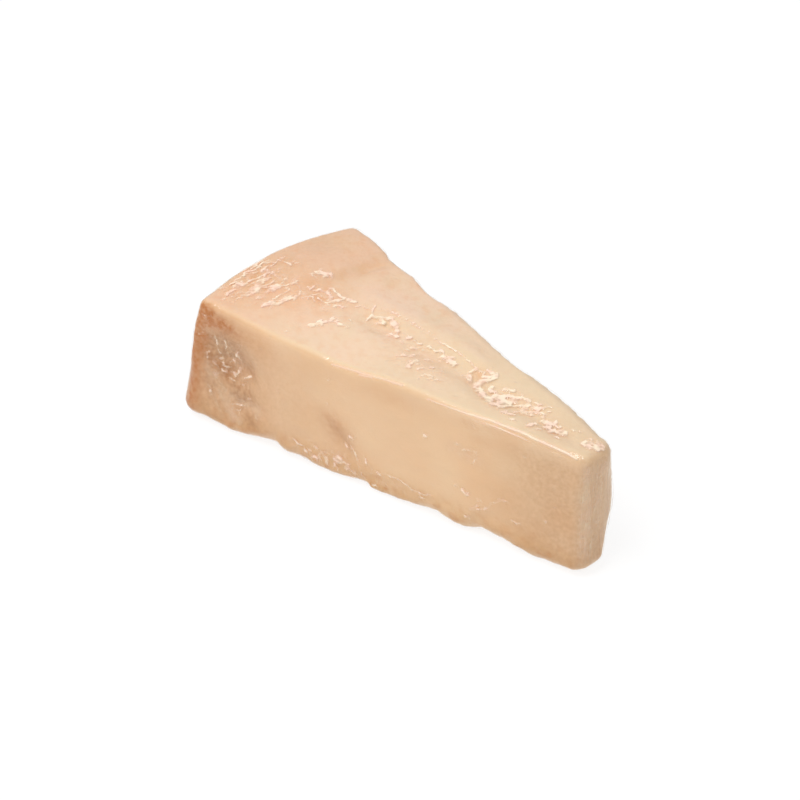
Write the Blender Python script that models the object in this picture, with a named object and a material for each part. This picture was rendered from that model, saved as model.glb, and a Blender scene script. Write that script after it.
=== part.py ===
"""Wedge of hard, grana-style cheese in a skin-tight clear wrap, as one solid.

The wedge is a sector of a wheel that was cut across. Its rind is the barrel-shaped end at -X,
and its cut-off point is at +X. The side at -Y is a knife cut, flat but for a hollow near the rind
and a dimple. The top and the side at +Y are broken rather than cut, so they are uneven.

Metres, +Z up. The origin is the middle of the footprint, on the surface that the wedge rests on.
"""

import itertools

import bmesh
import bpy
import numpy as np
from mathutils import Vector

NAME = "cheese_wedge"
MM = 0.001

# Driving dimensions. Every length below is in millimetres.
LENGTH = 150.0  # from the rind's top corners to the cut-off point
RIND_WIDTH = 72.4
POINT_WIDTH = 14.2
RIND_HEIGHT = 51.5
POINT_HEIGHT = 48.5
RIND_ARC = 6.3  # how far the middle of the rind stands out beyond its corners
RIND_FLARE = 13.6  # how much further the rind stands out at the bottom than at the top
FLARE_POWER = 0.87  # below 1 the rind bulges between the two, as the side of a wheel does
RIND_REACH = (-75.0, 40.4)  # both fade out between these places along X

# The cube that becomes the wedge: cells along X, Y and Z, and how many round each edge.
CELLS = (48, 22, 20)
EDGE_CELLS = 3

# Radii of the long edges.
TOP_FRONT_RADIUS = 2.4
TOP_BACK_RADIUS = 3.7
BOTTOM_FRONT_RADIUS = 5.3
BOTTOM_BACK_RADIUS = 6.0
POINT_EXTRA_RADIUS = (4.3, 1.0)  # at the bottom and at the top of the point
POINT_LIFT = 2.2  # how far the underside curves up towards the point
POINT_REACH = (60.0, 75.0)  # the extra radius and the lift grow between these places along X
TOP_REACH = (-0.625, 0.625)  # where the top's radii take over, as shares of half the height
MOST_RADIUS = 0.75  # of half the width, so that the two long sides never cross

# Crumbled stretches of the lower front edge: (X, half width, how much larger the radius is).
BOTTOM_FRONT_NOTCHES = [
    (-73.0, 9.0, 1.9),
    (-57.0, 4.0, -0.7),
    (-44.5, 6.0, 5.2),
    (-31.0, 4.0, 2.1),
    (-8.5, 3.0, 3.4),
    (20.0, 8.0, 3.6),
    (28.0, 4.0, -0.2),
    (43.5, 7.0, 9.8),
    (56.0, 6.0, 0.2),
]

# Hollows (negative) and swellings of the broken back: (X, Z, half width, half height, depth).
BACK_LUMPS = [
    (-58.5, 44.0, 5.5, 14.0, 1.1),
    (-47.0, 44.0, 7.5, 16.0, -3.7),
    (-28.0, 46.0, 6.0, 14.0, -2.8),
    (-14.5, 40.0, 7.0, 13.0, 1.6),
    (20.0, 44.0, 4.5, 12.0, -1.4),
    (39.0, 40.0, 14.0, 16.0, 2.0),
    (59.0, 42.0, 5.0, 12.0, 0.7),
    (71.5, 24.5, 10.5, 16.0, 4.1),
    (75.0, 4.0, 9.0, 9.5, -3.5),
    (-58.0, 18.0, 12.0, 10.0, -1.8),
    (-30.0, 14.0, 14.0, 8.0, 1.5),
    (4.0, 22.0, 12.0, 9.0, -2.0),
    (34.0, 12.0, 10.0, 8.0, -1.4),
]

# Lumps of the broken top: (X, Y, half length, half width, turn in degrees, height).
TOP_LUMPS = [
    (-68.0, 6.0, 14.0, 19.0, 0.0, 2.7),  # the rind's crown and its back lobe
    (-66.0, 27.0, 9.0, 9.0, 0.0, 1.4),
    (-51.5, 16.0, 2.6, 15.0, 0.0, -1.5),  # the crease beside the lobe
    (-24.0, -1.5, 9.0, 4.0, 5.0, -1.7),  # the valley along the middle, pit by pit
    (2.0, -1.0, 12.0, 4.0, 0.0, -1.2),
    (20.0, -0.5, 8.0, 4.5, -8.0, -1.6),
    (38.0, -1.5, 11.0, 4.0, 4.0, -1.3),
    (56.0, -1.5, 9.0, 2.6, 0.0, -0.8),
    (-18.0, 9.5, 22.0, 4.0, 3.0, 0.9),  # the ridge behind the valley
    (10.0, 8.5, 10.0, 3.2, -6.0, 0.7),
]

# Dips of the top's front edge, written the same way. They carry on over the edge.
FRONT_EDGE_DIPS = [
    (-41.0, -31.0, 19.5, 17.0, 11.0, -1.6),
    (-16.5, -28.0, 14.0, 15.0, 11.0, -2.6),
]
DIP_REACH = (0.5, 0.9)  # they fade in between these shares of the height

# Hollows of the knife-cut front: (X, Z, half length, half height, turn in degrees, depth).
FRONT_HOLLOWS = [
    (-62.0, 23.0, 12.5, 19.0, 8.0, 1.5),  # where the cheese broke away beside the rind
    (-61.5, 29.0, 7.5, 6.5, -25.0, 2.8),
    (-56.5, 14.0, 5.0, 3.5, -15.0, 1.3),
    (-20.0, 16.5, 7.5, 3.2, -48.0, 2.1),  # the dimple
    (-6.0, 5.0, 20.0, 3.5, 0.0, 0.9),
    (31.5, 29.5, 6.0, 3.2, 0.0, 0.5),
    (38.0, 9.5, 7.0, 2.6, 30.0, 0.7),
]

LUMP_NOISE = ((24.0, 0.45, 3), (9.0, 0.25, 7))  # lump size, height and seed
FLAT_SIDE_NOISE = 0.35  # share of that noise on the knife-cut side


def blend(low, high, share):
    """From low at share 0 to high at share 1, along a straight line."""
    return low + (high - low) * share


def between(value, reach):
    """How far value has come from one end of a reach, at 0, to the other, at 1."""
    return (value - reach[0]) / (reach[1] - reach[0])


def smooth(share):
    """Eases share from 0 to 1, and holds it beyond them."""
    t = np.clip(share, 0.0, 1.0)
    return t * t * (3.0 - 2.0 * t)


def bell(distance):
    """1 at distance 0, falling smoothly to almost nothing at 2."""
    return np.exp(-(distance**2))


def oval(a, b, centre_a, centre_b, half_a, half_b, turn=0.0):
    """A bell over an oval patch of a face, turned by an angle in degrees."""
    angle = np.radians(turn)
    da, db = a - centre_a, b - centre_b
    along = da * np.cos(angle) + db * np.sin(angle)
    across = db * np.cos(angle) - da * np.sin(angle)
    return bell(np.hypot(along / half_a, across / half_b))


def lattice_noise(points, size, seed):
    """Smooth random values from -1 to 1, with lumps of the given size."""
    count = 32
    lattice = np.random.default_rng(seed).uniform(-1.0, 1.0, (count, count, count))
    cell = points / size + count / 2
    base = np.floor(cell).astype(int)
    share = smooth(cell - base)
    total = np.zeros(len(points))
    for corner in itertools.product((0, 1), repeat=3):
        weight = np.prod(np.where(corner, share, 1.0 - share), axis=1)
        i, j, k = ((base + corner) % count).T
        total += weight * lattice[i, j, k]
    return total


def grid_cube(cells):
    """A cube from -1 to 1 whose faces are cut into a grid of cells."""
    bm = bmesh.new()
    bmesh.ops.create_cube(bm, size=2.0)
    for axis, count in enumerate(cells):
        normal = Vector([float(axis == i) for i in range(3)])
        for i in range(1, count):
            bmesh.ops.bisect_plane(
                bm,
                geom=bm.verts[:] + bm.edges[:] + bm.faces[:],
                plane_co=normal * (2.0 * i / count - 1.0),
                plane_no=normal,
            )
    return bm


def split_edges(grid):
    """Splits the cube's coordinates into the share along the flat part and the turn round an edge."""
    flat_share = 1.0 - 2.0 * EDGE_CELLS / np.array(CELLS)
    flat = np.clip(grid / flat_share, -1.0, 1.0)
    turn = np.clip((np.abs(grid) - flat_share) / (1.0 - flat_share), 0.0, 1.0)
    normal = np.sign(grid) * np.tan(np.radians(45.0) * turn)
    return flat, normal / np.linalg.norm(normal, axis=1, keepdims=True)


def half_width(x):
    return blend(RIND_WIDTH, POINT_WIDTH, x / LENGTH + 0.5) / 2.0


def height(x):
    return blend(RIND_HEIGHT, POINT_HEIGHT, x / LENGTH + 0.5)


def edge_radius(x, flat):
    """The rounding of the edges near each point, which crumbled stretches make larger."""
    back = (flat[:, 1] + 1.0) / 2.0
    top = blend(TOP_FRONT_RADIUS, TOP_BACK_RADIUS, back)
    front = BOTTOM_FRONT_RADIUS
    for place, half, extra in BOTTOM_FRONT_NOTCHES:
        front = front + extra * bell((x - place) / half)
    bottom = blend(front, BOTTOM_BACK_RADIUS, smooth(back))
    radius = blend(bottom, top, smooth(between(flat[:, 2], TOP_REACH)))
    rise = (flat[:, 2] + 1.0) / 2.0
    radius = radius + blend(*POINT_EXTRA_RADIUS, rise) * smooth(between(x, POINT_REACH))
    return np.minimum(radius, MOST_RADIUS * half_width(x))


def rounded_wedge(grid):
    """The wedge with rounded edges and smooth faces, and which way each point faces."""
    flat, normal = split_edges(grid)
    radius = edge_radius(flat[:, 0] * LENGTH / 2.0, flat)
    x = flat[:, 0] * (LENGTH / 2.0 - radius) + radius * normal[:, 0]
    half = half_width(x)
    across = (flat[:, 1] * (half - radius) + radius * normal[:, 1]) / half
    half_high = height(x) / 2.0
    z = half_high + flat[:, 2] * (half_high - radius) + radius * normal[:, 2]

    rise = z / height(x)
    rind_end = 1.0 - smooth(between(x, RIND_REACH))
    point_end = np.clip(between(x, POINT_REACH), 0.0, 1.0)
    z = z + POINT_LIFT * point_end**2 * (1.0 - rise)
    x = x - rind_end * RIND_ARC * (1.0 - across**2)
    x = x - rind_end * RIND_FLARE * np.clip(1.0 - rise, 0.0, 1.0) ** FLARE_POWER
    return np.column_stack((x, across * half_width(x), z)), normal


def relief(points, normal):
    """How far the uneven faces stand out from the smooth wedge, along X, Y and Z."""
    x, y, z = points.T
    share = np.square(normal)
    front = share[:, 1] * (normal[:, 1] < 0)
    back = share[:, 1] * (normal[:, 1] > 0)
    top = share[:, 2] * (normal[:, 2] > 0)
    under = share[:, 2] * (normal[:, 2] < 0)

    lumps = sum(h * lattice_noise(points, size, seed) for size, h, seed in LUMP_NOISE)
    out = normal * (lumps * blend(1.0, FLAT_SIDE_NOISE, front))[:, None]
    out[:, 2] += top * sum(h * oval(x, y, *place) for *place, h in TOP_LUMPS)
    upper = smooth(between(z / height(x), DIP_REACH))
    out[:, 2] += upper * sum(h * oval(x, y, *place) for *place, h in FRONT_EDGE_DIPS)
    out[:, 1] += front * sum(deep * oval(x, z, *place) for *place, deep in FRONT_HOLLOWS)
    out[:, 1] += back * sum(deep * oval(x, z, *place) for *place, deep in BACK_LUMPS)
    out[:, 2] *= 1.0 - under
    return out


def make_wedge():
    bm = grid_cube(CELLS)
    grid = np.array([vert.co for vert in bm.verts])
    points, normal = rounded_wedge(grid)
    points += relief(points, normal)
    points[:, 2] -= points[:, 2].min()
    middle = (points.min(axis=0) + points.max(axis=0)) / 2.0
    points[:, :2] -= middle[:2]
    for vert, point in zip(bm.verts, points):
        vert.co = Vector(point) * MM
    bmesh.ops.recalc_face_normals(bm, faces=bm.faces)
    mesh = bpy.data.meshes.new(NAME)
    bm.to_mesh(mesh)
    bm.free()
    return bpy.data.objects.new(NAME, mesh)


def principled(name, colour, roughness):
    material = bpy.data.materials.new(name)
    material.use_nodes = True
    shader = material.node_tree.nodes["Principled BSDF"]
    shader.inputs["Base Color"].default_value = (*colour, 1.0)
    shader.inputs["Roughness"].default_value = roughness
    shader.inputs["Metallic"].default_value = 0.0
    return material


def main():
    for old in list(bpy.data.objects):
        bpy.data.objects.remove(old)
    collection = bpy.data.collections.new("cheese wedge")
    bpy.context.scene.collection.children.link(collection)
    wedge = make_wedge()
    collection.objects.link(wedge)
    wedge.data.materials.append(principled("cheese", (0.80, 0.60, 0.41), 0.35))
    wedge.data.shade_smooth()


main()
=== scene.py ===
"""A wedge of hard cheese drawn tight in clear film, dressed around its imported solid.

The solid is one piece. Here it becomes two: the cheese, with its grain, its browned rind end and
its broken hollow, and the film, which bridges the hollows and is crinkled where air is left below.
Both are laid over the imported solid's own surface, so they keep its size and its place.
"""

import itertools
from types import SimpleNamespace

import bmesh
import bpy
import numpy as np
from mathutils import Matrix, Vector
from mathutils.bvhtree import BVHTree


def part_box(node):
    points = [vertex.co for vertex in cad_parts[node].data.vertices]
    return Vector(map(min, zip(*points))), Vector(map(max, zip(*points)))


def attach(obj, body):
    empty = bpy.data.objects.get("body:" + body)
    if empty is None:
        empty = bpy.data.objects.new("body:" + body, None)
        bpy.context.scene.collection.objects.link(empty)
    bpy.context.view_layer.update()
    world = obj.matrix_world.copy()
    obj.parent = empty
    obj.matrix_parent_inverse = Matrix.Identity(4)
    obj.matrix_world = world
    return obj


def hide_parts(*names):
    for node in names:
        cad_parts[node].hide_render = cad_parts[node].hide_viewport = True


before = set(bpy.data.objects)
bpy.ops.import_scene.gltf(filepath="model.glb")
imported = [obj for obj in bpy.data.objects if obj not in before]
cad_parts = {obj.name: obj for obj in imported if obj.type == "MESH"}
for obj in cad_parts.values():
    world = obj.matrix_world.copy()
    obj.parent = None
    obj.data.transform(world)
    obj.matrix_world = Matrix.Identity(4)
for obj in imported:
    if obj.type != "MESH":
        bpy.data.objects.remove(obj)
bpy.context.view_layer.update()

WEDGE = "cheese_wedge"
BODY = "root"
LOW, HIGH = (np.array(corner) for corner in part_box(WEDGE))

# Lengths and places below are in millimetres on a wedge of this length, from the middle of its
# footprint: X from the rind (-) to the point (+), Y from the knife-cut front (-) to the back (+).
DRAWN_LENGTH = 168.8
MM = (HIGH[0] - LOW[0]) / DRAWN_LENGTH

# Camera and light
CAMERA_AZIMUTH = 46.1
CAMERA_ELEVATION = 34.6
CAMERA_DISTANCE = 1005.0
CAMERA_AIM = (-4.7, -2.1, 25.0)
CAMERA_LENS = 135.0
CAMERA_SEES = 10.0  # metres
SKY = 0.6
FLOOR_HALF = 3.0  # metres
FLOOR_SHADE = 0.15
FLOOR_GLOW = 0.85
KEY_PLACE = (0.0, -0.5, 1.0)  # metres
KEY_SIZE = 0.6  # metres
KEY_POWER = 8.0  # watts
WHITE = (1.0, 1.0, 1.0, 1.0)

# The surfaces' grids: cells along X, Y and Z
CHEESE_CELLS = (230, 80, 66)
FILM_CELLS = (130, 45, 37)
CORE_SHARE = 0.85  # how far along the wedge its centre line reaches
SMOOTHING_ROUNDS = 24
LATTICE_POINTS = 64  # along each side of the noise's lattice, before it repeats

FILM_GAP = 0.25  # how far the cheese lies below the solid's surface
HOLLOW_DEPTH = 0.4  # and how much further in the hollow beside the rind
LEAST_GAP = 0.08  # no point of the cheese comes nearer to that surface
FILM_SINK = 0.02  # how far the film may go below it, before its mesh is cut finer
FILM_MIRROR = 0.04  # the share that the film reflects where it is seen face on
FILM_SHEEN = 0.5  # and how much more than that where it is seen edge on
FILM_ROUNDS = 120
FILM_SUCTION = 0.0015
FILM_CUTS = 3  # each cell of the film is cut into this many more rows where it is wrinkled
FILM_MELT_ROUNDS = 14  # of smoothing there
WRINKLE_REACH = 0.6  # how far from a line that is done
RIDGE_HEIGHT = 0.3
USUAL_HALF_WIDTH = 0.4  # of a wrinkle
MOST_MILK_AND_HIGHLIGHT = 0.85

# Wrinkles that the film is drawn into: (strength, half width, the line that it follows).
# On the top a line's places are (X, Y).
# Their white is partly milky film and partly painted highlight.
TOP_WRINKLES = [
    # fine streaks beside the rind's edge
    (0.5, 0.4, [(-64.0, -36.0), (-60.0, -34.5)]),
    (0.6, 0.3, [(-63.5, -28.0), (-61.0, -27.0)]),
    (0.7, 0.3, [(-60.5, -27.5), (-59.5, -23.5), (-58.0, -20.5)]),
    (0.8, 0.3, [(-64.0, -20.5), (-62.0, -20.0), (-60.5, -18.5)]),
    (0.7, 0.3, [(-66.5, -19.5), (-67.0, -14.5), (-66.5, -7.5)]),
    (0.8, 0.3, [(-62.5, -17.0), (-61.5, -12.0), (-60.5, -7.0)]),
    (0.7, 0.3, [(-62.0, -22.0), (-61.0, -16.5), (-59.5, -11.5)]),
    (0.8, 0.3, [(-60.5, -13.5), (-62.0, -10.0), (-63.5, -6.5)]),
    (1.0, 0.4, [(-64.5, -2.5), (-62.0, -2.0), (-59.0, -2.0)]),
    (0.6, 0.3, [(-65.5, -25.0), (-66.5, -19.0), (-67.5, -12.5)]),
    (0.6, 0.3, [(-57.5, -18.5), (-55.0, -14.0), (-52.0, -9.0)]),
    (0.6, 0.3, [(-53.0, -15.5), (-53.0, -11.0)]),
    # the tangle beyond them
    (1.0, 1.2, [(-50.5, 2.5), (-49.0, 3.5), (-47.0, 4.5)]),
    (0.9, 0.35, [(-49.5, -23.0), (-50.0, -19.5), (-47.5, -16.0), (-46.5, -11.5)]),
    (0.9, 0.35, [(-49.5, -22.5), (-47.5, -19.0), (-45.5, -14.0), (-45.5, -11.0)]),
    (0.7, 1.3, [(-49.0, -21.0), (-47.0, -16.5), (-46.0, -13.0)]),
    (0.7, 0.3, [(-50.0, -10.5), (-49.5, -14.0), (-50.5, -18.5)]),
    (0.8, 0.3, [(-47.0, -4.5), (-45.0, -5.5), (-45.5, -2.5)]),
    (0.7, 0.3, [(-42.0, -9.5), (-42.5, -7.0), (-42.0, -5.0)]),
    (0.8, 0.3, [(-42.0, -7.5), (-41.5, -7.0), (-39.5, -8.5)]),
    (0.9, 0.7, [(-43.0, -3.0), (-39.0, -2.0), (-35.5, -4.0), (-33.0, 0.0), (-30.0, 1.0)]),
    (0.9, 0.6, [(-40.5, 0.5), (-35.0, -0.5), (-31.5, 1.0)]),
    (0.8, 0.9, [(-33.0, -5.5), (-32.5, -4.0), (-30.5, -4.0)]),
    (0.6, 0.3, [(-27.5, -0.5), (-27.0, 1.0), (-24.5, 1.5)]),
    (0.6, 0.3, [(-51.0, -6.5), (-47.0, -8.0), (-45.0, -11.5)]),
    (0.6, 0.3, [(-40.0, -6.5), (-36.0, -6.0), (-33.5, -2.5)]),
    # the fold with two lobes
    (0.75, 1.3, [(-31.0, -18.0), (-30.0, -15.5), (-28.5, -12.0), (-26.5, -10.0)]),
    (0.75, 1.0, [(-28.5, -11.5), (-25.5, -11.0), (-22.5, -10.0)]),
    (0.6, 0.3, [(-24.0, -7.0), (-21.5, -7.0)]),
    # the valley's first wrinkle
    (1.0, 0.4, [(-20.5, -2.5), (-21.0, 0.5), (-24.0, 4.0)]),
    (1.0, 0.8, [(-21.0, 0.5), (-18.0, 1.5), (-15.0, 1.0), (-15.0, 0.0)]),
    (1.0, 0.9, [(-16.0, 2.5), (-14.5, 3.5), (-11.0, 2.0), (-8.0, 0.5), (-6.5, -2.0), (-9.0, -2.5)]),
    (0.7, 0.6, [(-34.5, -25.5), (-34.0, -25.5)]),
    (0.5, 0.3, [(1.5, -14.0), (3.0, -12.0), (4.5, -10.0)]),
    # the long ridge behind the valley
    (0.5, 0.9, [(-21.0, 5.5), (-15.5, 6.5), (-9.5, 7.0), (-2.5, 6.5), (6.0, 5.5)]),
    (1.0, 0.35, [(6.0, 5.5), (11.0, 5.5), (17.0, 5.5)]),
    (0.6, 0.3, [(17.0, 5.5), (22.0, 5.0), (24.5, 4.0)]),
    # along the valley
    (0.8, 0.8, [(-3.5, 0.0), (-2.5, 0.5)]),
    (0.8, 0.4, [(-0.5, 0.0), (0.0, 1.0), (1.5, 0.0), (2.5, 1.0), (2.0, 2.0)]),
    (0.5, 0.4, [(5.0, -1.0), (6.5, -0.5)]),
    (1.0, 0.4, [(5.5, 1.5), (8.5, 1.5), (10.0, 3.0), (12.5, 2.0)]),
    (1.0, 1.3, [(13.0, 1.5), (15.5, 1.0), (18.0, 1.0)]),
    (0.8, 0.7, [(1.5, -10.0), (5.5, -6.5)]),
    (0.8, 0.8, [(9.0, -11.5), (8.5, -9.0), (9.0, -7.5)]),
    (0.75, 0.8, [(13.0, -10.5), (13.0, -9.5)]),
    (0.8, 1.2, [(16.5, -12.0), (18.5, -11.0)]),
    (0.75, 0.8, [(21.5, -9.5), (22.5, -8.5)]),
    # the loops beyond its middle
    (0.9, 0.7, [(26.0, -2.0), (28.0, -2.5), (26.5, -0.5), (25.5, 0.0), (26.0, -2.0)]),
    (0.7, 0.4, [(24.5, 1.0), (25.0, 3.5), (24.5, 4.5)]),
    (0.9, 0.4, [(26.5, 4.0), (28.5, 4.5), (29.0, 2.0), (30.0, 3.0)]),
    (1.0, 0.9, [(28.5, 6.0), (31.5, 6.0), (32.5, 5.0), (32.5, 3.0), (30.5, 1.5), (31.5, -3.0)]),
    (0.9, 1.2, [(31.0, 4.0), (32.0, 5.0)]),
    # the dense cluster
    (0.9, 1.0, [(33.0, -2.5), (38.5, -5.0), (42.5, -6.5), (44.0, -6.0), (46.0, -3.5)]),
    (0.9, 0.4, [(46.0, -3.5), (50.0, 1.0), (54.0, 2.5)]),
    (1.0, 0.9, [(35.5, 1.0), (37.0, -1.0)]),
    (0.9, 1.1, [(39.5, -5.0), (39.5, -2.0), (41.5, -2.0), (42.0, 0.0), (44.0, 1.0), (46.0, 0.0)]),
    (0.9, 1.0, [(43.5, -4.0), (43.5, -1.5), (46.0, -1.5)]),
    (0.85, 0.55, [(39.0, 2.0), (40.0, 3.0), (42.0, 3.5)]),
    (0.85, 0.55, [(48.0, 2.5), (48.5, 2.5)]),
    (0.85, 0.55, [(45.5, 1.5), (47.0, 3.0), (50.5, 3.0)]),
    (0.85, 0.55, [(47.5, -7.5), (50.0, -7.0), (52.0, -6.0)]),
    (0.85, 0.55, [(50.5, -4.0), (51.5, -2.0)]),
    (0.75, 0.45, [(51.5, 3.5), (53.5, 4.0)]),
    (0.85, 0.55, [(53.0, 1.0), (55.5, 3.5)]),
    (0.75, 0.45, [(55.0, 0.5), (57.5, 1.5)]),
    (0.8, 0.5, [(48.1, -6.9), (48.6, -6.4)]),
    (0.8, 0.5, [(53.0, -8.6), (53.8, -8.2)]),
    (0.8, 0.6, [(52.2, -2.4), (53.0, -1.8)]),
    (0.8, 0.45, [(55.5, 4.3), (57.7, 5.8)]),
    (0.8, 0.5, [(57.5, 2.9), (58.2, 3.4)]),
    # short ones towards the point
    (0.9, 0.7, [(59.0, -6.5), (59.5, -4.0)]),
    (0.9, 0.5, [(62.0, -6.0), (63.0, -5.5)]),
    (1.0, 1.0, [(60.0, -1.0), (62.5, -1.0), (63.5, -3.0)]),
    (0.9, 0.8, [(64.5, -3.0), (67.0, -2.5), (69.5, -1.5)]),
    (0.9, 0.5, [(63.0, 0.5), (63.0, 2.0)]),
    (0.8, 0.5, [(64.5, 0.0), (66.0, 0.5)]),
    (0.75, 0.5, [(69.5, 1.5), (70.5, 1.5)]),
    (0.75, 0.5, [(69.5, -5.0), (70.5, -5.0)]),
    (1.0, 1.5, [(77.5, -0.5), (80.5, -0.5), (82.0, 2.0)]),
    (0.6, 0.5, [(76.0, 0.0), (78.0, 2.5)]),
    (0.75, 0.5, [(72.2, 2.5), (72.8, 3.0)]),
]

# Along the top front edge, where the film is stretched in two lines, whose white is a painted
# highlight: (X, Z).
EDGE_WRINKLES = [
    (0.9, 0.3, [(25.0, 48.0), (37.0, 48.0), (48.5, 48.8), (60.5, 48.8), (72.0, 48.2), (80.5, 47.5)]),
    (0.9, 0.35, [(32.5, 47.0), (41.0, 47.0), (52.5, 47.7), (60.0, 47.4), (67.5, 46.8), (75.0, 46.4)]),
    (0.6, 0.3, [(-12.5, 46.5), (-7.5, 47.0), (-0.5, 47.5), (7.5, 48.6), (15.0, 49.0)]),
    (0.6, 0.3, [(-1.5, 46.8), (3.5, 47.6)]),
]

# On the knife-cut front: (X, Z).
FRONT_WRINKLES = [
    # in the broken hollow beside the rind
    (0.7, 0.3, [(-64.0, 46.5), (-63.0, 44.0)]),
    (0.6, 0.3, [(-64.0, 46.0), (-61.0, 47.0)]),
    (0.7, 0.35, [(-60.6, 39.0), (-60.4, 36.0)]),
    (0.7, 0.35, [(-64.8, 31.5), (-65.0, 28.3)]),
    (0.6, 0.3, [(-59.0, 25.5), (-57.2, 24.8)]),
    (0.6, 0.3, [(-56.2, 29.8), (-54.6, 31.1)]),
    (0.6, 0.3, [(-60.2, 33.7), (-59.4, 32.2)]),
    (0.7, 0.3, [(-67.4, 37.7), (-65.5, 39.3)]),
    (0.8, 0.3, [(-55.6, 11.3), (-51.5, 12.3)]),
    (0.8, 0.3, [(-55.0, 13.2), (-50.7, 14.3)]),
    (0.9, 0.4, [(-52.4, 11.2), (-52.0, 10.6)]),
    (0.7, 0.4, [(-57.0, 38.0), (-57.0, 35.0)]),
    (0.7, 0.3, [(-65.0, 30.5), (-65.0, 29.0)]),
    (0.7, 0.5, [(-64.0, 32.0), (-63.5, 31.5)]),
    (0.8, 0.4, [(-52.0, 35.5), (-53.5, 33.5)]),
    (0.8, 0.3, [(-59.5, 29.0), (-58.5, 28.0)]),
    (0.8, 0.3, [(-58.5, 27.5), (-55.5, 27.5)]),
    (0.9, 0.4, [(-56.0, 25.5), (-53.5, 25.5), (-52.0, 28.0)]),
    (0.8, 0.3, [(-54.5, 24.5), (-53.5, 26.0)]),
    (0.8, 0.4, [(-50.0, 25.0), (-48.5, 26.5), (-47.0, 27.5)]),
    (0.6, 0.3, [(-51.5, 22.0), (-49.0, 24.5)]),
    (0.9, 0.45, [(-63.6, 16.0), (-63.5, 15.2)]),
    (0.8, 0.4, [(-50.0, 17.0), (-47.5, 18.0)]),
    (0.8, 0.4, [(-59.5, 30.6), (-59.5, 30.0)]),
    (0.6, 0.3, [(-56.5, 23.0), (-54.5, 22.5)]),
    # the dimple, and the crumbled edge below it
    (1.2, 0.7, [(-5.6, 20.6), (-4.7, 20.0)]),
    (0.6, 0.6, [(-7.2, 17.0), (-6.5, 15.5)]),
    (0.6, 0.5, [(-4.6, 17.0), (-3.6, 14.5), (-3.0, 12.5)]),
    (1.0, 0.35, [(-28.4, 9.8), (-26.3, 9.3), (-24.8, 9.0)]),
    (1.1, 0.5, [(-24.3, 7.3), (-23.6, 7.2)]),
    (1.1, 0.5, [(-22.2, 8.3), (-21.5, 8.1)]),
    (1.1, 0.6, [(-19.9, 6.6), (-19.2, 6.5)]),
    (1.1, 0.6, [(-10.3, 9.8), (-9.7, 9.5)]),
    (0.7, 0.4, [(-9.5, 7.8), (-8.0, 8.7), (-6.5, 8.2), (-6.3, 6.8)]),
    (1.1, 0.45, [(0.6, 14.2), (0.9, 12.8)]),
    (1.1, 0.5, [(5.3, 10.4), (6.0, 10.2)]),
    (0.9, 0.5, [(3.0, 4.0), (4.0, 3.8)]),
    (0.8, 0.6, [(22.8, 8.0), (23.4, 8.0)]),
    (0.8, 0.7, [(40.3, 7.9), (41.0, 7.8)]),
    (0.6, 0.6, [(36.0, 18.6), (36.4, 18.4)]),
    (0.6, 0.4, [(-21.0, 10.5), (-18.5, 10.5)]),
    (0.6, 0.4, [(-15.5, 10.0), (-14.0, 9.5)]),
    (0.6, 0.3, [(-12.5, 8.5), (-9.5, 9.0)]),
    (0.5, 0.3, [(-18.5, 7.5), (-17.0, 6.0)]),
    (0.6, 0.3, [(-8.0, 8.5), (-5.5, 8.5)]),
    # folds on the flat part
    (0.7, 0.4, [(39.0, 33.5), (41.0, 34.5), (43.5, 35.0), (44.0, 33.0), (43.0, 30.0)]),
    (0.5, 0.5, [(35.5, 35.0), (37.5, 35.5)]),
    (0.5, 0.5, [(45.5, 28.5), (46.0, 28.5)]),
    (0.6, 0.4, [(42.0, 11.0), (47.0, 13.5), (50.5, 17.0), (53.0, 20.0), (56.0, 20.5)]),
    (0.4, 0.3, [(44.5, 17.0), (45.5, 15.0), (42.5, 11.5)]),
    (0.8, 0.25, [(9.0, 10.5), (12.0, 11.5), (15.5, 11.0), (19.0, 9.5), (22.5, 9.0), (26.5, 10.5)]),
    (0.7, 0.4, [(22.5, 7.5), (24.0, 8.0)]),
    (1.0, 0.4, [(58.5, 13.5), (60.5, 14.0)]),
    # specks of trapped air
    (1.1, 0.55, [(24.0, 33.0), (24.5, 33.0)]),
    (1.2, 0.7, [(39.8, 17.8), (41.0, 17.4)]),
    (0.8, 0.4, [(45.5, 17.0), (46.0, 17.0)]),
    (0.7, 0.4, [(40.0, 7.5), (41.0, 8.0)]),
    (0.6, 0.4, [(73.5, 26.0), (73.6, 26.0)]),
    (0.8, 0.5, [(70.0, 18.5), (70.1, 18.5)]),
    (0.4, 0.4, [(77.5, 22.5), (78.0, 22.5)]),
    (0.5, 0.4, [(61.5, 41.0), (62.0, 41.0)]),
    (0.6, 0.4, [(-14.0, 40.5), (-13.5, 40.5)]),
    (0.6, 0.4, [(-14.0, 30.0), (-14.0, 29.5)]),
]

# Milky places, where the film stands off the cheese.
FRONT_HAZE = [
    (0.34, 1.8, [(-64.5, 25.5), (-62.0, 20.0), (-58.0, 13.5), (-53.0, 8.0)]),
    (0.3, 0.9, [(-60.5, 22.0), (-57.5, 16.0), (-55.5, 11.0)]),
    (0.26, 0.8, [(-65.5, 20.0), (-63.0, 14.0), (-60.0, 9.0)]),
    (0.22, 2.0, [(-55.5, 16.5), (-44.0, 14.5)]),
    (0.12, 2.5, [(35.0, 33.0), (44.0, 32.0)]),
    (0.16, 4.0, [(-61.5, 41.0), (-55.0, 33.0)]),
]
POINT_HAZE = [(0.34, 1.5, [(-5.6, 44.0), (-5.2, 12.0)]), (0.12, 3.0, [(-2.0, 40.0), (-1.0, 14.0)])]

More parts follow.
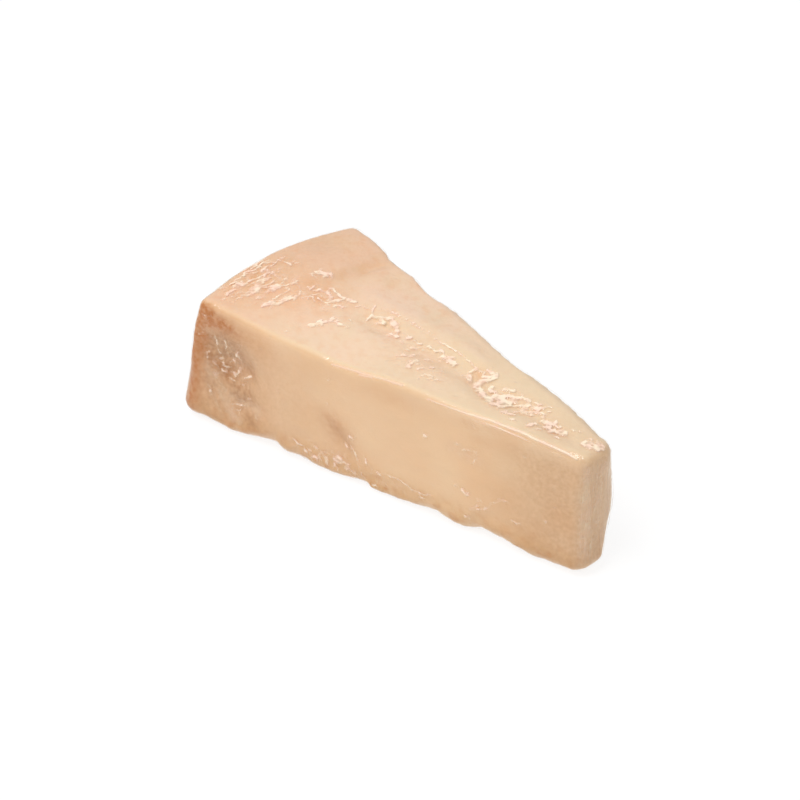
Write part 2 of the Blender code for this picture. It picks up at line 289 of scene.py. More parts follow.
# Crinkled patches of the top: (X, Y, half length, half width, turn in degrees, strength).
TOP_CRINKLES = [
    (-43.0, -8.0, 13.0, 9.0, 20.0, 0.7),
    (-15.0, 1.0, 8.0, 4.0, 0.0, 0.6),
    (9.0, -5.0, 13.0, 7.0, 0.0, 0.7),
    (28.0, 1.0, 6.0, 5.0, 0.0, 0.7),
    (42.0, -1.5, 9.0, 5.5, 10.0, 1.15),
    (53.0, 0.0, 8.0, 5.0, 0.0, 1.0),
    (64.0, -2.0, 7.0, 3.5, 0.0, 1.0),
    (80.0, 1.0, 4.0, 3.0, 0.0, 0.7),
]
WARM_PLACES = [  # on the top, written the same way
    (-62.0, -16.0, 8.0, 14.0, 0.0, 1.0),
    (-42.0, -5.0, 10.0, 8.0, 0.0, 0.8),
    (-42.0, 16.0, 4.0, 14.0, 0.0, 0.6),
    (27.5, 2.5, 3.0, 3.0, 0.0, 0.8),
]
AMBER_SPOTS = [  # on the front, just under its top edge: (X, Z, …)
    (41.5, 44.5, 5.0, 2.0, 0.0, 1.0),
    (49.0, 46.0, 4.0, 1.5, 0.0, 0.7),
    (45.5, 40.5, 5.0, 2.5, 0.0, 0.7),
    (10.0, 43.0, 14.0, 3.0, 4.0, 0.5),
]
HOLLOW_DARK_PLACES = [  # on the front, darker where the cheese broke away beside the rind: (X, Z, …)
    (-60.5, 31.0, 9.5, 13.0, -15.0, 1.0),
    (-53.0, 19.0, 8.0, 8.0, 0.0, 0.65),
    (-58.5, 25.5, 6.0, 4.5, -20.0, 1.3),
    (-52.0, 15.5, 3.5, 2.5, 0.0, 0.8),
    (-47.5, 9.5, 4.0, 3.5, 0.0, 0.7),
    (-48.5, 28.5, 3.5, 4.5, 0.0, 0.6),
    (-63.0, 20.0, 12.0, 18.0, 0.0, 0.5),
]
FRONT_CREST = [(-60.0, 50.6), (-30.0, 48.9), (-15.0, 48.0), (0.0, 48.5), (30.0, 49.4)]  # (X, Z)
RIND_STREAKS = (-61.5, -15.0, 7.0, 14.0, 0.0, 1.0)
FRONT_CRINKLES = [  # in the hollow and at the crumbled edge: (X, Z, …)
    (-58.0, 29.0, 8.0, 13.0, 0.0, 0.55),
    (-9.0, 6.5, 18.0, 5.0, 0.0, 0.95),
]
BACK_CRINKLES = [  # (X, Z, …)
    (-58.0, 17.0, 9.0, 9.0, 0.0, 0.7),
    (-47.0, 36.0, 5.0, 11.0, 0.0, 0.8),
    (-28.0, 32.0, 5.0, 11.0, 0.0, 0.8),
    (4.0, 22.0, 9.0, 8.0, 0.0, 0.7),
    (21.0, 36.0, 4.0, 9.0, 0.0, 0.7),
    (60.0, 28.0, 7.0, 10.0, 0.0, 0.6),
]
RIND_CRINKLES = [  # (Y, Z, …)
    (-28.0, 42.0, 6.0, 9.0, 0.0, 0.8),
    (-6.0, 26.0, 12.0, 12.0, 30.0, 0.55),
    (24.0, 12.0, 9.0, 9.0, 0.0, 0.7),
]

# The cheese's grain, in layers of noise: (height, lump size, seed).
GRAIN = [(0.12, 4.0, 5), (0.06, 1.8, 6)]
HOLLOW_GRAIN = [(0.5, 3.0, 8), (0.3, 1.8, 9)]
CRUMBLED_GRAIN = [(0.3, 2.6, 16), (0.25, 1.5, 17)]
BACK_CRUMBS = [(0.6, 5.0, 18), (0.45, 2.4, 19), (0.3, 1.4, 24)]


# ---------------------------------------------------------------- numbers


def smooth(share):
    """Eases share from 0 to 1, and holds it beyond them."""
    t = np.clip(share, 0.0, 1.0)
    return t * t * (3.0 - 2.0 * t)


def bell(distance):
    """1 at distance 0, falling smoothly to almost nothing at 2."""
    return np.exp(-(distance**2))


def oval(a, b, centre_a, centre_b, half_a, half_b, turn=0.0):
    """A bell over an oval patch of a face, turned by an angle in degrees."""
    angle = np.radians(turn)
    da, db = a - centre_a, b - centre_b
    along = da * np.cos(angle) + db * np.sin(angle)
    across = db * np.cos(angle) - da * np.sin(angle)
    return bell(np.hypot(along / half_a, across / half_b))


def ovals(a, b, patches):
    """The strongest of several oval patches at each place."""
    return np.max([strength * oval(a, b, *patch) for *patch, strength in patches], axis=0)


def lattice_noise(points, size, seed):
    """Smooth random values from -1 to 1, with lumps of the given size in millimetres."""
    count = LATTICE_POINTS
    lattice = np.random.default_rng(seed).uniform(-1.0, 1.0, (count, count, count))
    cell = points / size + count / 2
    base = np.floor(cell).astype(int)
    share = smooth(cell - base)
    total = np.zeros(len(points))
    for corner in itertools.product((0, 1), repeat=3):
        weight = np.prod(np.where(corner, share, 1.0 - share), axis=1)
        i, j, k = ((base + corner) % count).T
        total += weight * lattice[i, j, k]
    return total


def layered_noise(points, layers):
    return sum(height * lattice_noise(points, size, seed) for height, size, seed in layers)


def strokes(a, b, lines, swell):
    """How strongly soft lines mark each place. A line is (strength, half width, places).

    swell makes the lines wider and narrower from place to place.
    """
    places = np.column_stack((a, b))
    marks = np.zeros(len(places))
    for strength, half, line in lines:
        line = np.array(line)
        near = np.all(np.abs(places - (line.min(axis=0) + line.max(axis=0)) / 2.0)
                      < (line.max(axis=0) - line.min(axis=0)) / 2.0 + 3.0 * half, axis=1)
        spots = places[near]
        distance = np.full(len(spots), np.inf)
        for start, way in zip(line, np.diff(line, axis=0)):
            share = np.clip((spots - start) @ way / (way @ way), 0.0, 1.0)
            off = spots - start - share[:, None] * way
            distance = np.minimum(distance, np.linalg.norm(off, axis=1))
        marks[near] = np.maximum(marks[near], strength * bell(distance / (half * swell[near])))
    return marks


# ---------------------------------------------------------------- surfaces


def cube_grid(cells):
    """Points from -1 to 1 on a cube's faces, and its quads, which share the points on its edges."""
    quads = []
    for axis in range(3):
        a, b = (axis + 1) % 3, (axis + 2) % 3
        i, j = np.meshgrid(range(cells[a]), range(cells[b]), indexing="ij")
        for side in (0, cells[axis]):
            steps = [(0, 0), (1, 0), (1, 1), (0, 1)]
            quad = np.zeros(i.shape + (4, 3), int)
            for turn, (da, db) in enumerate(steps if side else steps[::-1]):
                quad[..., turn, axis] = side
                quad[..., turn, a] = i + da
                quad[..., turn, b] = j + db
            quads.append(quad.reshape(-1, 3))
    places, index = np.unique(np.concatenate(quads), axis=0, return_inverse=True)
    return 2.0 * places / cells - 1.0, index.reshape(-1, 4)


def neighbour_table(quads, count):
    """The four points next to each point, or three and itself at the cube's corners."""
    pairs = np.concatenate([np.column_stack((quads[:, i], quads[:, (i + 1) % 4])) for i in range(4)])
    pairs = np.unique(np.concatenate((pairs, pairs[:, ::-1])), axis=0)
    first = np.searchsorted(pairs[:, 0], np.arange(count))
    degree = np.bincount(pairs[:, 0], minlength=count)
    table = np.tile(np.arange(count)[:, None], (1, 4))
    for i in range(4):
        has = degree > i
        table[has, i] = pairs[first[has] + i, 1]
    return table


def point_normals(points, quads):
    a, b, c, d = (points[quads[:, i]] for i in range(4))
    face = np.cross(c - a, d - b)
    normals = np.zeros_like(points)
    for i in range(4):
        for axis in range(3):
            normals[:, axis] += np.bincount(quads[:, i], face[:, axis], len(points))
    return normals / np.linalg.norm(normals, axis=1, keepdims=True)


def smoothed(points, table, rounds):
    """Evens out the solid's facets. The second, outward step of each round keeps its size."""
    for _ in range(rounds):
        for step in (0.5, -0.52):
            points = points + step * (points[table].mean(axis=1) - points)
    return points


def solid_skin(cells):
    """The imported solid's surface in millimetres, as a regular grid of quads."""
    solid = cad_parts[WEDGE].data
    shape = np.array([vert.co for vert in solid.vertices])
    tree = BVHTree.FromPolygons(shape.tolist(), [tuple(face.vertices) for face in solid.polygons])

    signs = np.array(list(itertools.product((-1.0, 1.0), repeat=3)))
    corners = shape[np.argmax(shape @ signs.T, axis=0)]

    def in_cage(grid):
        shares = np.prod((1.0 + grid[:, None] * signs) / 2.0, axis=2)
        return shares @ corners

    grid, quads = cube_grid(cells)
    starts = in_cage(grid * (CORE_SHARE, 0.0, 0.0))
    ways = in_cage(grid) - starts
    hits = [tree.ray_cast(Vector(start), Vector(way))[0] for start, way in zip(starts, ways)]
    points = np.array(hits) / MM
    table = neighbour_table(quads, len(points))
    return smoothed(points, table, SMOOTHING_ROUNDS), quads, table


def add_marks(mesh, marks):
    """Keeps numbers at each point, by name, for the mesh's material to read."""
    for mark, values in marks.items():
        layer = mesh.attributes.new(mark, "FLOAT", "POINT")
        layer.data.foreach_set("value", values.astype(np.float32))


def make_mesh(name, points, quads, material, marks):
    """A smooth-shaded piece from points in millimetres. marks are numbers at each point, by name."""
    mesh = bpy.data.meshes.new(name)
    mesh.from_pydata((points * MM).tolist(), [], quads.tolist())
    add_marks(mesh, marks)
    mesh.shade_smooth()
    mesh.materials.append(material)
    piece = bpy.data.objects.new(name, mesh)
    bpy.context.scene.collection.objects.link(piece)
    return piece


# ---------------------------------------------------------------- shader nodes


class Nodes:
    """A material's node tree, with short ways to add to it."""

    def __init__(self, name):
        self.material = bpy.data.materials.new(name)
        self.material.use_nodes = True
        self.tree = self.material.node_tree
        self.tree.nodes.clear()
        self.out = self.add("OutputMaterial")

    def add(self, kind, **settings):
        node = self.tree.nodes.new("ShaderNode" + kind)
        for name, value in settings.items():
            setattr(node, name, value)
        return node

    def link(self, source, target):
        self.tree.links.new(source, target)

    def put(self, socket, value):
        """A number, a colour or another node's output, into a socket."""
        if isinstance(value, bpy.types.NodeSocket):
            self.link(value, socket)
        else:
            socket.default_value = value

    def mark(self, name):
        return self.add("Attribute", attribute_name=name).outputs["Fac"]

    def noise(self, size, detail=3.0, rough=0.5, stretch=(1.0, 1.0, 1.0)):
        """Noise with lumps of the given size in millimetres, from 0 to 1."""
        place = self.add("Mapping")
        place.inputs["Scale"].default_value = stretch
        self.link(self.add("NewGeometry").outputs["Position"], place.inputs["Vector"])
        noise = self.add("TexNoise")
        self.link(place.outputs["Vector"], noise.inputs["Vector"])
        noise.inputs["Scale"].default_value = 1.0 / (size * MM)
        noise.inputs["Detail"].default_value = detail
        noise.inputs["Roughness"].default_value = rough
        return noise.outputs["Fac"]

    def math(self, operation, a, b=0.0, clamp=False):
        node = self.add("Math", operation=operation, use_clamp=clamp)
        self.put(node.inputs[0], a)
        self.put(node.inputs[1], b)
        return node.outputs[0]

    def ramp(self, value, low, high, to_low=0.0, to_high=1.0):
        node = self.add("MapRange", interpolation_type="SMOOTHSTEP")
        self.put(node.inputs["Value"], value)
        node.inputs["From Min"].default_value = low
        node.inputs["From Max"].default_value = high
        node.inputs["To Min"].default_value = to_low
        node.inputs["To Max"].default_value = to_high
        return node.outputs["Result"]

    def mix(self, share, a, b, mode="MIX"):
        node = self.add("Mix", data_type="RGBA", blend_type=mode)
        self.put(node.inputs["Factor"], share)
        self.put(node.inputs["A"], a)
        self.put(node.inputs["B"], b)
        return node.outputs["Result"]

    def bump(self, height, distance, strength=1.0, normal=None):
        node = self.add("Bump")
        self.link(height, node.inputs["Height"])
        node.inputs["Distance"].default_value = distance * MM
        node.inputs["Strength"].default_value = strength
        if normal is not None:
            self.link(normal, node.inputs["Normal"])
        return node.outputs["Normal"]


def colour(red, green, blue):
    """A shade as seen on a screen, 0 to 255, as the linear colour that shaders take."""
    shown = np.array((red, green, blue)) / 255.0
    linear = np.where(shown <= 0.04045, shown / 12.92, ((shown + 0.055) / 1.055) ** 2.4)
    return (*linear.tolist(), 1.0)


# ---------------------------------------------------------------- the cheese

CHEESE_PALE = colour(234, 203, 177)
# painted shade: the darker colour of the front and point faces, which get less light than the top
CHEESE_SIDE_SHADE = colour(225, 189, 148)
CHEESE_WARM = colour(226, 173, 132)
# straw yellow, also painted as the highlight on the rounded top front edge
CHEESE_STRAW_AND_EDGE_HIGHLIGHT = colour(227, 203, 170)
CHEESE_OCHRE = colour(205, 158, 104)
CHEESE_AMBER = colour(180, 110, 46)
# dark cheese, also painted as shade on the point face and along the foot
CHEESE_DARK_AND_SHADE = colour(170, 120, 74)
RIND_TAN = colour(190, 146, 96)
RIND_BROWN = colour(158, 112, 68)
RIND_SCUFF = colour(212, 176, 128)


def cheese_material():
    n = Nodes("cheese")
    shader = n.add("BsdfPrincipled")
    base = n.mix(n.ramp(n.noise(14.0), 0.4, 0.75, 0.0, 0.6), CHEESE_PALE, CHEESE_STRAW_AND_EDGE_HIGHLIGHT)
    base = n.mix(n.ramp(n.noise(3.5, 4.0), 0.45, 0.75, 0.0, 0.38), base, CHEESE_WARM)
    base = n.mix(n.ramp(n.noise(1.5, 4.0, 0.6), 0.5, 0.7, 0.0, 0.2), base, CHEESE_WARM)
    # yellower towards the point, and a painted highlight on the rounded top front edge
    base = n.mix(n.mark("straw_and_edge_highlight"), base, CHEESE_STRAW_AND_EDGE_HIGHLIGHT)
    # painted shade on the front and point faces
    base = n.mix(n.mark("side_shade"), base, CHEESE_SIDE_SHADE)
    base = n.mix(n.mark("warm"), base, CHEESE_WARM)
    base = n.mix(n.mark("ochre"), base, CHEESE_OCHRE)
    # darker places, with painted shade on the point face and along the foot
    mottle = n.ramp(n.noise(1.4, 4.0, 0.6), 0.32, 0.68, 0.7, 1.25)
    base = n.mix(n.math("MULTIPLY", n.mark("dark_and_shade"), mottle, clamp=True), base, CHEESE_DARK_AND_SHADE)
    blots = n.ramp(n.noise(1.8, 4.0, 0.6), 0.32, 0.68, 0.55, 1.3)
    base = n.mix(n.math("MULTIPLY", n.mark("amber"), blots, clamp=True), base, CHEESE_AMBER)
    rind = n.mix(n.ramp(n.noise(7.0, 4.0, 0.6), 0.42, 0.66, 0.0, 0.8), RIND_TAN, RIND_BROWN)
    bands = n.noise(1.6, 3.0, 0.6, (1.0, 0.12, 1.0))
    rind = n.mix(n.ramp(bands, 0.5, 0.66, 0.0, 0.5), rind, RIND_BROWN)
    rind = n.mix(n.ramp(n.noise(2.4, 5.0, 0.65), 0.56, 0.72, 0.0, 0.6), rind, RIND_SCUFF)
    base = n.mix(n.mark("rind"), base, rind)
    n.link(base, shader.inputs["Base Color"])
    shader.inputs["Roughness"].default_value = 0.55
    shader.inputs["Specular IOR Level"].default_value = 0.2
    shader.inputs["Subsurface Weight"].default_value = 0.2
    shader.inputs["Subsurface Radius"].default_value = (1.0, 0.8, 0.6)
    shader.inputs["Subsurface Scale"].default_value = 1.5 * MM
    grain = n.bump(n.noise(0.9, 4.0, 0.6), 0.12, 0.6)
    grain = n.bump(n.math("MULTIPLY", bands, n.mark("rind")), 0.35, 0.6, grain)
    n.link(grain, shader.inputs["Normal"])
    n.link(shader.outputs[0], n.out.inputs["Surface"])
    return n.material


def cheese_zones(points, normals):
    """How far each point belongs to each part of the cheese, as shares from 0 to 1."""
    x, _, z = points.T
    front = np.clip(-normals[:, 1], 0.0, 1.0) ** 2
    rind_face = np.clip(-normals[:, 0], 0.0, 1.0)
    return SimpleNamespace(
        front=front,
        back=np.clip(normals[:, 1], 0.0, 1.0) ** 2,
        top=np.clip(normals[:, 2], 0.0, 1.0) ** 2,
        point=np.clip(normals[:, 0], 0.0, 1.0) ** 2,
        rind=smooth(rind_face * 2.2 - 0.9),
        hollow=front * oval(x, z, -58.0, 30.0, 9.0, 13.0, -15.0),
        crumbled=front * smooth((15.0 - z) / 12.0),
        # painted shade along the foot, where the wedge meets the table
        contact_shade=smooth((3.5 - z) / 3.5),
    )


def cheese_relief(points, zone, crumbs):
    """How far each point lies off the solid's surface. It is negative, so always inwards."""
    relief = layered_noise(points, GRAIN)
    relief += zone.hollow * layered_noise(points, HOLLOW_GRAIN)
    relief += zone.crumbled * layered_noise(points, CRUMBLED_GRAIN)
    relief += zone.back * (crumbs - 0.5)
    relief += zone.rind * 0.25 * lattice_noise(points, 6.0, 20)
    return np.minimum(relief - FILM_GAP - HOLLOW_DEPTH * zone.hollow, -LEAST_GAP)


def cheese_marks(points, normals, zone, crumbs):
    """How strongly each colour shows at each point, by the name that the material reads."""
    x, y, z = points.T
    front, top, point = zone.front, zone.top, zone.point
    hollow_dark = front * ovals(x, z, HOLLOW_DARK_PLACES)
    blotch = 0.5 + 0.5 * lattice_noise(points, 3.2, 12)
    cloud = 0.5 + 0.5 * lattice_noise(points, 11.0, 13)
    # painted highlight: paler where the top rounds over into the front
    rounded_edge_highlight = bell((normals[:, 2] - 0.6) / 0.3) * (normals[:, 1] < 0.0)
    crest = np.interp(x, *np.transpose(FRONT_CREST)) + 1.5 * lattice_noise(points, 8.0, 15)
    # painted highlight: a paler band along the front's top edge, on its left part
    crest_highlight = smooth((z - crest + 5.0) / 3.5) * smooth((-normals[:, 1] - 0.1) / 0.3)
    crest_highlight *= smooth((x + 66.0) / 10.0) * smooth((35.0 - x) / 20.0)
    hem = front * smooth((z - 40.0) / 7.0) * smooth((x - 5.0) / 15.0)
    rind_edge = -66.5 - 0.2 * (51.0 - z)

    # yellower towards the point, plus the painted highlight on the top front edge
    straw_and_edge_highlight = smooth((x + 25.0) / 70.0) * 0.8 + rounded_edge_highlight + crest_highlight
    # painted shade: the front and point faces darker than the top, a little less near the front's top
    # edge at the right
    side_shade = np.maximum(front, point) * 0.85 - 0.3 * hem
    warm = (
        0.4 * smooth((-15.0 - x) / 50.0)
        + top * (0.1 + 0.35 * blotch) * ovals(x, y, TOP_CRINKLES)
        + top * 0.5 * blotch * ovals(x, y, WARM_PLACES)
        + front * 0.3 * cloud * smooth((x + 60.0) / 40.0)
    )
    ochre = (
        (0.35 + 0.5 * blotch) * zone.crumbled
        + front * 0.3 * cloud
        + zone.back * (0.1 + 0.55 * smooth(0.5 - 1.1 * crumbs))
        + top * 0.4 * blotch * ovals(x, y, WARM_PLACES)
    )
    dark_and_shade = (
        # darker in the broken hollow beside the rind
        hollow_dark * (0.6 + 0.45 * blotch)
        + front * 0.22 * smooth((-5.0 - x) / 35.0) * smooth((47.0 - z) / 10.0)
        + top * 0.14 * oval(x, y, -64.0, 2.0, 18.0, 22.0)
        + top * 0.1 * smooth((x - 50.0) / 20.0)
        + top * 0.07 * smooth((y - 4.0) / 16.0)
        + front * 0.4 * smooth((x - 40.0) / 35.0) * (1.0 - 0.55 * hem)
        # painted shade: the point face darker than the front, more so towards the bottom
        + point * (0.3 + 0.2 * smooth((25.0 - z) / 20.0))
        + front * 0.3 * oval(x, z, -8.5, 15.0, 6.0, 7.0)
        # painted shade along the foot
        + 0.5 * zone.contact_shade
    )
    amber = (
        front * oval(x, z, -60.0, 45.0, 8.0, 3.8, -6.0)
        + front * 0.2 * oval(x, z, -46.0, 43.0, 13.0, 5.0, -6.0) * (1.0 - crest_highlight)
        + front * 0.3 * oval(x, z, -61.0, 24.5, 4.5, 3.5)
        + front * 0.4 * oval(x, z, -12.0, 21.5, 6.0, 4.2, -45.0)
        + front * 0.2 * ovals(x, z, AMBER_SPOTS)
        + 0.35 * zone.crumbled * smooth((lattice_noise(points, 2.0, 14) - 0.1) / 0.4)
        + front * (0.7 + 0.4 * blotch) * smooth((rind_edge + 9.0 - x) / 8.0)
    )
    return {
        "rind": zone.rind,
        "straw_and_edge_highlight": np.clip(straw_and_edge_highlight, 0.0, 0.95),
        "side_shade": side_shade,
        "warm": np.clip(warm, 0.0, 1.0),
        "ochre": np.clip(ochre, 0.0, 1.0),
        "dark_and_shade": np.clip(dark_and_shade, 0.0, 1.0),
        "amber": np.clip(amber, 0.0, 1.0),
    }


def make_cheese():
    points, quads, _ = solid_skin(CHEESE_CELLS)
    normals = point_normals(points, quads)
    zone = cheese_zones(points, normals)
    crumbs = layered_noise(points, BACK_CRUMBS)
    relief = cheese_relief(points, zone, crumbs)
    marks = cheese_marks(points, normals, zone, crumbs)
    return make_mesh("cheese", points + normals * relief[:, None], quads, cheese_material(), marks)


# ---------------------------------------------------------------- the film


# milky film, and the painted highlights of its wrinkles
MILK_AND_HIGHLIGHT_PINK = colour(254, 225, 206)
MILK_AND_HIGHLIGHT_CREAM = colour(254, 238, 213)
MILK_OLIVE = colour(232, 210, 172)
FILM_RIM = colour(170, 152, 110)  # what its edge reflects


def film_material():
    n = Nodes("clear_film")
    clear = n.add("BsdfTransparent")
    shine = n.add("BsdfGlossy")
    shine.inputs["Roughness"].default_value = 0.12
    crinkle = n.bump(n.noise(1.6, 2.0, 0.5), 0.03, 0.3)
    n.link(crinkle, shine.inputs["Normal"])
    edge = n.add("LayerWeight")
    edge.inputs["Blend"].default_value = 0.5
    n.link(crinkle, edge.inputs["Normal"])
    grazing = n.math("POWER", edge.outputs["Facing"], 5.0)
    mirror = n.math("MULTIPLY_ADD", grazing, FILM_SHEEN)
    mirror.node.inputs[2].default_value = FILM_MIRROR
    rim = n.ramp(grazing, 0.4, 1.0)
    n.link(n.mix(rim, WHITE, FILM_RIM), shine.inputs["Color"])
    film = n.add("MixShader")
    n.link(mirror, film.inputs[0])
    n.link(clear.outputs[0], film.inputs[1])
    n.link(shine.outputs[0], film.inputs[2])
    # a white that stands for milky film and for the painted highlights along its wrinkles
    milk_and_highlight = n.add("BsdfDiffuse")
    milk_and_highlight_tint = n.mix(n.ramp(n.noise(4.0), 0.4, 0.65), MILK_AND_HIGHLIGHT_PINK, MILK_AND_HIGHLIGHT_CREAM)
    milk_and_highlight_tint = n.mix(n.mark("olive"), milk_and_highlight_tint, MILK_OLIVE)
    n.link(milk_and_highlight_tint, milk_and_highlight.inputs["Color"])
    milky_and_highlit = n.add("MixShader")
    n.link(n.mark("milk_and_highlight"), milky_and_highlit.inputs[0])
    n.link(film.outputs[0], milky_and_highlit.inputs[1])
    n.link(milk_and_highlight.outputs[0], milky_and_highlit.inputs[2])
    n.link(milky_and_highlit.outputs[0], n.out.inputs["Surface"])
    return n.material


def wandering(points):
    """The points pushed about a little, so that no line is drawn quite straight."""
    return points + np.column_stack(
        [
            0.5 * lattice_noise(points, 2.4, seed) + 0.3 * lattice_noise(points, 0.9, seed + 3)
            for seed in (21, 22, 23)
        ]
    )


def film_marks(points, normals, spread=0.0):
    """Where the film is wrinkled: in drawn lines, in crinkled patches, in streaks beside the rind
    and where it is stretched over the front edge. They are shares, and the strongest lines and
    patches go a little beyond 1.

    spread makes a line of the usual half width wider by so many millimetres, and others in
    proportion.
    """
    x, y, z = points.T
    nx, ny, nz = normals.T
    top = smooth((nz - 0.5) / 0.3)
    front = smooth((-ny - 0.5) / 0.3)
    back = smooth((ny - 0.5) / 0.3)
    rind = smooth((-nx - 0.5) / 0.3)
    edge = smooth((nz - 0.15) / 0.2) * smooth((0.97 - nz) / 0.05) * (ny < 0.0)
    wx, wy, wz = wandering(points).T
    wider = spread / USUAL_HALF_WIDTH
    swell = 1.1 + 0.7 * lattice_noise(points, 1.3, 28) + wider
    even = np.full(len(points), 1.0 + wider)
    drawn = np.maximum.reduce(
        [
            top * strokes(wx, wy, TOP_WRINKLES, swell),
            front * strokes(wx, wz, FRONT_WRINKLES, swell),
        ]
    )
    patch = np.maximum.reduce(
        [
            top * ovals(x, y, TOP_CRINKLES),
            front * ovals(x, z, FRONT_CRINKLES),
            back * ovals(x, z, BACK_CRINKLES),
            rind * ovals(y, z, RIND_CRINKLES),
        ]
    )
    streaked = top * ovals(x, y, [RIND_STREAKS])
    stretched = edge * strokes(x, z + 0.2 * (wz - z), EDGE_WRINKLES, even)
    return drawn, patch, streaked, stretched


def film_patterns(points, normals):
    """How raised the film is at each point, as a share from 0 to 1, and how milky it is, with the
    white of its wrinkles' highlights painted in.
    """
    drawn, patch, streaked, stretched = film_marks(points, normals)
    front = smooth((-normals[:, 1] - 0.5) / 0.3)
    point = smooth((normals[:, 0] - 0.6) / 0.2)
    upright = points / np.where(normals[:, 2] > 0.6, 1.0, 2.0)[:, None] ** (0, 0, 1)
    flecks = 0.55 * lattice_noise(upright, 1.5, 31) + 0.5 * lattice_noise(upright, 0.8, 33)
    moved = wandering(points)
    grooves = lattice_noise((2.0 * moved - points) / (0.16, 1.0, 1.0), 4.4, 32)
    streaks = smooth((grooves + 0.5 * streaked - 0.42) / 0.35) * smooth(streaked / 0.3)
    crinkled = smooth((1.3 * drawn + 0.7 * patch + flecks - 0.6) / 0.45)
    stripes = point * smooth((lattice_noise(points / (1.0, 1.0, 14.0), 0.9, 51) + 0.1) / 0.5)
    stripes *= smooth((points[:, 2] - 4.0) / 8.0) * smooth((47.0 - points[:, 2]) / 6.0)
    ridges = np.maximum.reduce([crinkled, streaks, 0.6 * stretched, 0.3 * stripes])
    flat = np.ones(len(points))
    # milky film, with painted highlights along the drawn wrinkles
    haze = np.maximum.reduce(
        [
            front * strokes(moved[:, 0], moved[:, 2], FRONT_HAZE, flat),
            point * strokes(moved[:, 1], moved[:, 2], POINT_HAZE, flat),
            0.3 * drawn,
            0.22 * stripes,
            0.35 * (patch + streaked) * smooth((flecks + 0.1) / 0.5),
        ]
    )
    bright = 0.75 + 0.35 * lattice_noise(points, 2.0, 41) + 0.35 * lattice_noise(points, 0.9, 42)
    # painted highlights along the wrinkles' ridges
    shine = (0.42 + 0.38 * np.maximum(drawn, 0.8 * streaks)) * (1.0 - 0.3 * front)
    # the stretched lines along the front edge are painted highlights
    return ridges, np.maximum(bright * (haze + shine * ridges), 0.8 * stretched)


def is_wrinkled(points, normals):
    """Where the film needs a finer mesh, which is a little beyond its wrinkles and front edge."""
    drawn, patch, streaked, stretched = film_marks(points, normals, WRINKLE_REACH)
    _, ny, nz = normals.T
    edge = (nz > 0.3) & (nz < 0.95) & (ny < -0.1) & (points[:, 0] > -15.0)
    return (drawn > 0.3) | (patch > 0.48) | (streaked > 0.35) | (stretched > 0.3) | edge


def cut_finer(mesh, marked):
    """Cuts the mesh's quads into smaller ones around the marked points."""
    bm = bmesh.new()
    bm.from_mesh(mesh)
    bm.verts.ensure_lookup_table()
    faces = {face for index in np.flatnonzero(marked) for face in bm.verts[index].link_faces}
    edges = list({edge for face in faces for edge in face.edges})
    bmesh.ops.subdivide_edges(bm, edges=edges, cuts=FILM_CUTS, use_grid_fill=True)
    bm.to_mesh(mesh)
    bm.free()


def mesh_arrays(mesh):
    points = np.empty(len(mesh.vertices) * 3, np.float32)
    mesh.vertices.foreach_get("co", points)
    normals = np.empty(len(mesh.vertices) * 3, np.float32)
    mesh.vertex_normals.foreach_get("vector", normals)
    edges = np.empty(len(mesh.edges) * 2, np.int32)
    mesh.edges.foreach_get("vertices", edges)
    points = points.reshape(-1, 3).astype(float) / MM
    return points, normals.reshape(-1, 3).astype(float), edges.reshape(-1, 2)


def neighbour_means(points, edges):
    ends = np.concatenate((edges, edges[:, ::-1]))
    degree = np.bincount(ends[:, 0], minlength=len(points))
    sums = [np.bincount(ends[:, 0], points[ends[:, 1], axis], len(points)) for axis in range(3)]
    return np.column_stack(sums) / degree[:, None]


def stretched_film():
    """The film drawn tight over the solid: its points, the solid's normals there and the quads."""
    skin, quads, table = solid_skin(FILM_CELLS)
    normals = point_normals(skin, quads)
    out = np.zeros(len(skin))  # how far each point stands off the solid
    for _ in range(FILM_ROUNDS):
        points = skin + normals * out[:, None]
        pull = np.sum((points[table].mean(axis=1) - points) * normals, axis=1)
        out = np.maximum(-FILM_SINK, out + 0.5 * pull - FILM_SUCTION)
    return skin + normals * out[:, None], normals, quads


def melted(points, edges, first_new):
    """Evens out the points that were added by cutting, and leaves the others where they are."""
    fine = np.zeros(len(points))
    fine[first_new:] = 1.0
    for _ in range(FILM_MELT_ROUNDS):
        points = points + 0.5 * fine[:, None] * (neighbour_means(points, edges) - points)
    return points


def make_film():
    tight, solid_normals, quads = stretched_film()
    film = make_mesh("clear_film", tight, quads, film_material(), {})
    cut_finer(film.data, is_wrinkled(tight, solid_normals))

    points, normals, edges = mesh_arrays(film.data)
    points = melted(points, edges, len(tight))
    ridges, milk_and_highlight = film_patterns(points, normals)
    points = points + normals * (RIDGE_HEIGHT * ridges)[:, None]
    film.data.vertices.foreach_set("co", (points * MM).astype(np.float32).ravel())

    olive = 0.8 * oval(points[:, 0], points[:, 2], -59.0, 22.0, 13.0, 18.0) * (1.0 - ridges)
    olive *= normals[:, 1] < -0.3
    olive = np.maximum(olive, 0.4 * smooth((normals[:, 0] - 0.5) / 0.2))
    add_marks(film.data, {"milk_and_highlight": np.clip(milk_and_highlight, 0.0, MOST_MILK_AND_HIGHLIGHT), "olive": olive})
    film.data.update()
    film.data.shade_smooth()
    return film


# ---------------------------------------------------------------- stage


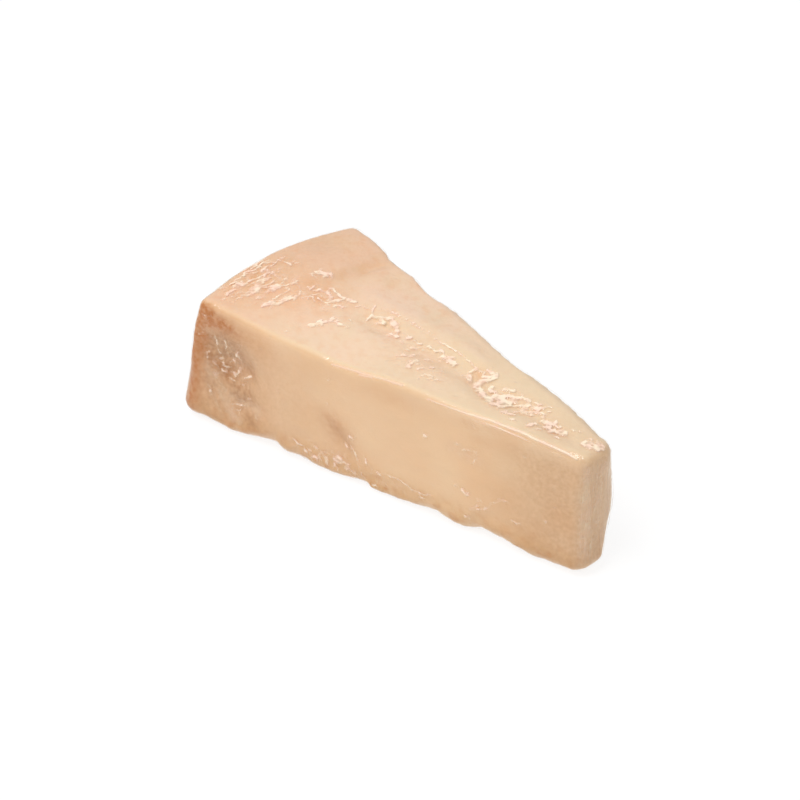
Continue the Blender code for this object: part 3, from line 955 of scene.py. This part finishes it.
def make_camera():
    azimuth, elevation = np.radians((CAMERA_AZIMUTH, CAMERA_ELEVATION))
    back = Vector(
        (
            np.sin(azimuth) * np.cos(elevation),
            -np.cos(azimuth) * np.cos(elevation),
            np.sin(elevation),
        )
    )
    camera = bpy.data.objects.new("camera", bpy.data.cameras.new("camera"))
    camera.location = Vector(CAMERA_AIM) * MM + back * CAMERA_DISTANCE * MM
    camera.rotation_euler = back.to_track_quat("Z", "Y").to_euler()
    camera.data.lens = CAMERA_LENS
    camera.data.clip_end = CAMERA_SEES
    bpy.context.scene.collection.objects.link(camera)
    bpy.context.scene.camera = camera


def area_light(name, place, size, power):
    """A square soft light that faces the wedge. place and size are in metres."""
    data = bpy.data.lights.new(name, "AREA")
    data.size = size
    data.energy = power
    light = bpy.data.objects.new(name, data)
    light.location = place
    light.rotation_euler = Vector(place).to_track_quat("Z", "Y").to_euler()
    bpy.context.scene.collection.objects.link(light)


def make_stage():
    """A white table that glows a little, as a light table does, under a white sky."""
    bm = bmesh.new()
    bmesh.ops.create_grid(bm, x_segments=1, y_segments=1, size=FLOOR_HALF)
    mesh = bpy.data.meshes.new("floor")
    bm.to_mesh(mesh)
    bm.free()
    floor = bpy.data.objects.new("floor", mesh)
    bpy.context.scene.collection.objects.link(floor)
    n = Nodes("floor")
    shader = n.add("BsdfPrincipled")
    shader.inputs["Base Color"].default_value = (FLOOR_SHADE, FLOOR_SHADE, FLOOR_SHADE, 1.0)
    shader.inputs["Roughness"].default_value = 0.8
    shader.inputs["Emission Color"].default_value = WHITE
    shader.inputs["Emission Strength"].default_value = FLOOR_GLOW
    n.link(shader.outputs[0], n.out.inputs["Surface"])
    mesh.materials.append(n.material)

    world = bpy.data.worlds.new("studio")
    world.use_nodes = True
    sky = world.node_tree.nodes["Background"]
    sky.inputs["Color"].default_value = WHITE
    sky.inputs["Strength"].default_value = SKY
    bpy.context.scene.world = world
    area_light("key", KEY_PLACE, KEY_SIZE, KEY_POWER)
    bpy.context.scene.view_settings.view_transform = "Standard"


def main():
    make_camera()
    make_stage()
    cheese = make_cheese()
    film = make_film()
    for piece, slot in ((cheese, "cheese"), (film, "clear_film")):
        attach(piece, BODY)
        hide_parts(WEDGE)


main()
